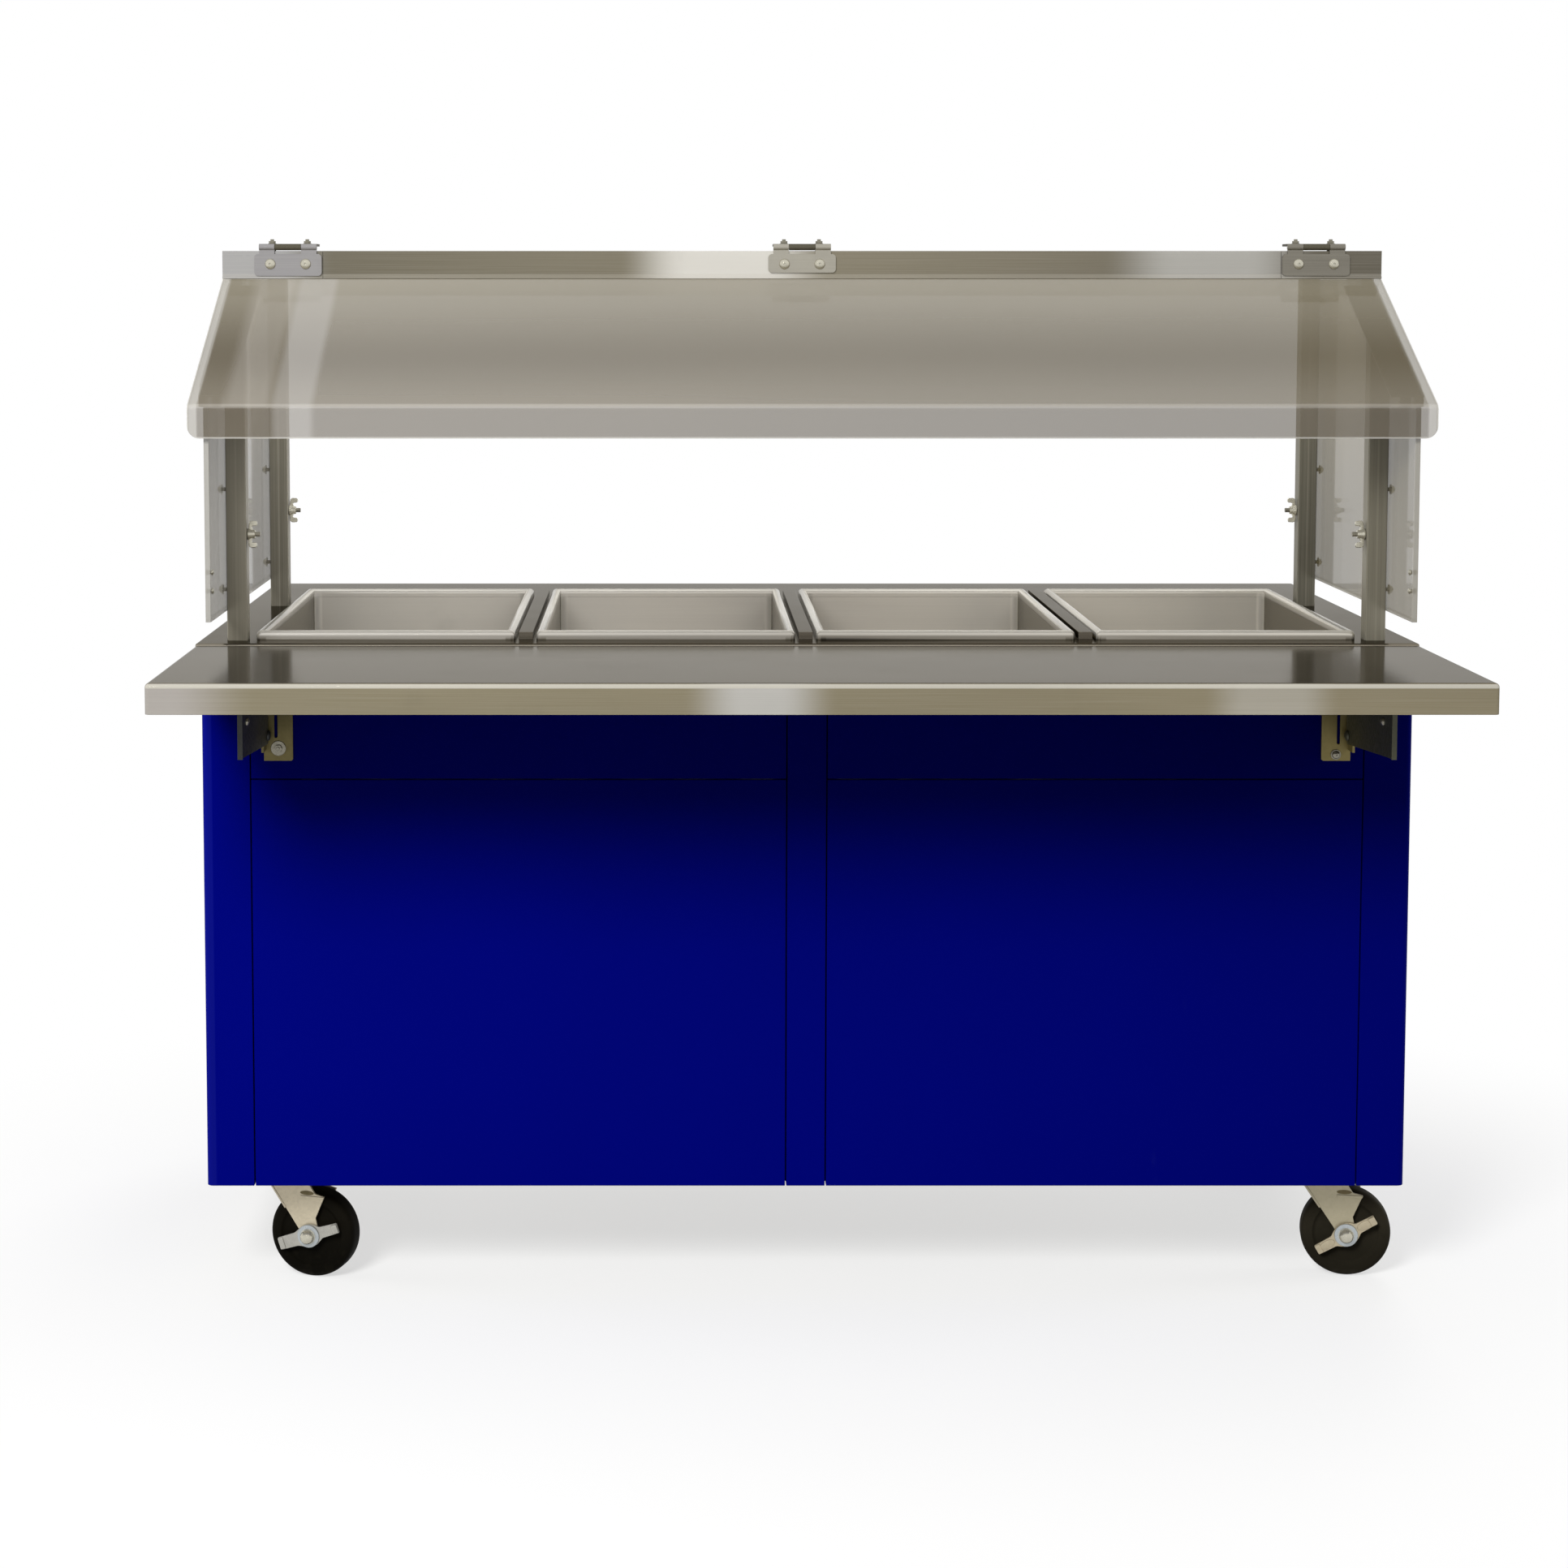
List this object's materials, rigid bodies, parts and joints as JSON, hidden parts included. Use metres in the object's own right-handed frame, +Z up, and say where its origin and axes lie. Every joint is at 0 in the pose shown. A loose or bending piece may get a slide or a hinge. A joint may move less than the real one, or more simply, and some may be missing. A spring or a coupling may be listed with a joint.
{
  "type": "mobile hot food serving counter",
  "caption": "Blue cabinet on swivel casters with a stainless counter, recessed food wells, a fold-down front shelf and a clear flip-up food guard on square posts.",
  "frame": {"origin": "on the floor under the middle of the bounding box", "axes": "+X along the counter's length, to the right seen from the customer's side; -Y towards the customer; +Z up"},
  "size_m": [1.537, 1.12, 1.3442],
  "materials": {
    "stainless": "brushed stainless sheet",
    "frame_steel": "dull stainless tube and plate",
    "blue_paint": "deep blue smooth coating",
    "clear_acrylic": "clear acrylic with a warm tint",
    "zinc": "zinc plated steel",
    "black_rubber": "black hard rubber",
    "black_plastic": "moulded black plastic",
    "amber_lens": "amber pilot lens",
    "red_plastic": "red moulded plastic",
    "brass_pipe": "dull brass pipe"
  },
  "bodies": {
    "counter": {"counter_top": "stainless", "well_1": "stainless", "well_2": "stainless", "well_3": "stainless", "well_4": "stainless", "strip_heaters": "frame_steel", "drain_manifold": "brass_pipe", "base_rails": "frame_steel", "base_deck": "stainless", "side_panels": "blue_paint", "corner_stiles": "blue_paint", "rear_stiles": "blue_paint", "centre_stile": "blue_paint", "upper_panels": "blue_paint", "lower_panels": "blue_paint", "control_panel": "stainless", "pilot_lights": "amber_lens", "power_inlet": "black_plastic", "guard_posts": "frame_steel", "side_arms": "frame_steel", "arm_bumpers": "black_rubber", "top_pan": "stainless", "end_panel_left": "clear_acrylic", "end_panel_right": "clear_acrylic", "end_panel_screws": "zinc", "hinge_top_leaves": "frame_steel", "hinge_bolts": "zinc", "hinge_pins": "zinc", "shelf_wall_brackets": "zinc", "shelf_bracket_bolts": "zinc", "shelf_pivot_pins": "zinc", "caster_plates": "zinc"},
    "guard": {"front_rail": "stainless", "rail_end_caps": "stainless", "guard_panel": "clear_acrylic", "hinge_front_leaves": "zinc", "hinge_screws": "zinc"},
    "shelf": {"front_shelf": "stainless", "shelf_arms": "zinc", "shelf_arm_bolts": "zinc"},
    "caster_1": {"caster_fork_1": "zinc"},
    "wheel_1": {"caster_wheel_1": "black_rubber"},
    "caster_2": {"caster_fork_2": "zinc"},
    "wheel_2": {"caster_wheel_2": "black_rubber"},
    "caster_3": {"caster_fork_3": "zinc"},
    "wheel_3": {"caster_wheel_3": "black_rubber"},
    "caster_4": {"caster_fork_4": "zinc"},
    "wheel_4": {"caster_wheel_4": "black_rubber"},
    "brake_1": {"brake_lever_1": "zinc"},
    "brake_2": {"brake_lever_2": "zinc"},
    "wing_1": {"wing_nut_1": "zinc"},
    "wing_2": {"wing_nut_2": "zinc"},
    "wing_3": {"wing_nut_3": "zinc"},
    "wing_4": {"wing_nut_4": "zinc"},
    "knob_1": {"control_knob_1": "black_plastic"},
    "knob_2": {"control_knob_2": "black_plastic"},
    "knob_3": {"control_knob_3": "black_plastic"},
    "knob_4": {"control_knob_4": "black_plastic"},
    "switch": {"power_switch": "red_plastic"},
    "valve": {"drain_handle": "red_plastic"}
  },
  "joints": [
    {"name": "guard_flip", "type": "hinge", "parent": "counter", "child": "guard", "pos_m": [0, -0.0115, 1.334], "axis": [-1, 0, 0], "range_deg": [0, 135]},
    {"name": "shelf_fold", "type": "hinge", "parent": "counter", "child": "shelf", "pos_m": [0, -0.215, 0.722], "axis": [1, 0, 0], "range_deg": [0, 90]},
    {"name": "caster_1_swivel", "type": "hinge", "parent": "counter", "child": "caster_1", "pos_m": [-0.67, -0.11, 0.145], "axis": [0, 0, 1], "continuous": true},
    {"name": "wheel_1_spin", "type": "hinge", "parent": "caster_1", "child": "wheel_1", "pos_m": [-0.63347, -0.12047, 0.0575], "axis": [0.2756, 0.9613, 0], "continuous": true},
    {"name": "caster_2_swivel", "type": "hinge", "parent": "counter", "child": "caster_2", "pos_m": [0.67, -0.11, 0.145], "axis": [0, 0, 1], "continuous": true},
    {"name": "wheel_2_spin", "type": "hinge", "parent": "caster_2", "child": "wheel_2", "pos_m": [0.70753, -0.11595, 0.0575], "axis": [0.1564, 0.9877, 0], "continuous": true},
    {"name": "caster_3_swivel", "type": "hinge", "parent": "counter", "child": "caster_3", "pos_m": [-0.67, 0.445, 0.145], "axis": [0, 0, 1], "continuous": true},
    {"name": "wheel_3_spin", "type": "hinge", "parent": "caster_3", "child": "wheel_3", "pos_m": [-0.632, 0.445, 0.0575], "axis": [0, 1, 0], "continuous": true},
    {"name": "caster_4_swivel", "type": "hinge", "parent": "counter", "child": "caster_4", "pos_m": [0.67, 0.445, 0.145], "axis": [0, 0, 1], "continuous": true},
    {"name": "wheel_4_spin", "type": "hinge", "parent": "caster_4", "child": "wheel_4", "pos_m": [0.708, 0.445, 0.0575], "axis": [0, 1, 0], "continuous": true},
    {"name": "brake_1_turn", "type": "hinge", "parent": "caster_1", "child": "brake_1", "pos_m": [-0.63347, -0.12047, 0.0575], "axis": [-0.2756, -0.9613, 0], "range_deg": [-19, 26]},
    {"name": "brake_2_turn", "type": "hinge", "parent": "caster_2", "child": "brake_2", "pos_m": [0.70753, -0.11595, 0.0575], "axis": [-0.1564, -0.9877, 0], "range_deg": [-31, 14]},
    {"name": "wing_1_turn", "type": "hinge", "parent": "counter", "child": "wing_1", "pos_m": [-0.702, -0.155, 0.97], "axis": [1, 0, 0], "continuous": true},
    {"name": "wing_2_turn", "type": "hinge", "parent": "counter", "child": "wing_2", "pos_m": [0.702, -0.155, 0.97], "axis": [-1, 0, 0], "continuous": true},
    {"name": "wing_3_turn", "type": "hinge", "parent": "counter", "child": "wing_3", "pos_m": [-0.702, 0.253, 0.97], "axis": [1, 0, 0], "continuous": true},
    {"name": "wing_4_turn", "type": "hinge", "parent": "counter", "child": "wing_4", "pos_m": [0.702, 0.253, 0.97], "axis": [-1, 0, 0], "continuous": true},
    {"name": "knob_1_turn", "type": "hinge", "parent": "counter", "child": "knob_1", "pos_m": [-0.5334, 0.535, 0.76488], "axis": [0, -1, 0], "range_deg": [0, 270]},
    {"name": "knob_2_turn", "type": "hinge", "parent": "counter", "child": "knob_2", "pos_m": [-0.1778, 0.535, 0.76488], "axis": [0, -1, 0], "range_deg": [0, 270]},
    {"name": "knob_3_turn", "type": "hinge", "parent": "counter", "child": "knob_3", "pos_m": [0.1778, 0.535, 0.76488], "axis": [0, -1, 0], "range_deg": [0, 270]},
    {"name": "knob_4_turn", "type": "hinge", "parent": "counter", "child": "knob_4", "pos_m": [0.5334, 0.535, 0.76488], "axis": [0, -1, 0], "range_deg": [0, 270]},
    {"name": "switch_rock", "type": "hinge", "parent": "counter", "child": "switch", "pos_m": [0, 0.529, 0.76488], "axis": [-1, 0, 0], "range_deg": [0, 16]},
    {"name": "drain_valve_turn", "type": "hinge", "parent": "counter", "child": "valve", "pos_m": [0.64008, 0.45, 0.66], "axis": [0, 0, 1], "range_deg": [0, 90]}
  ]
}
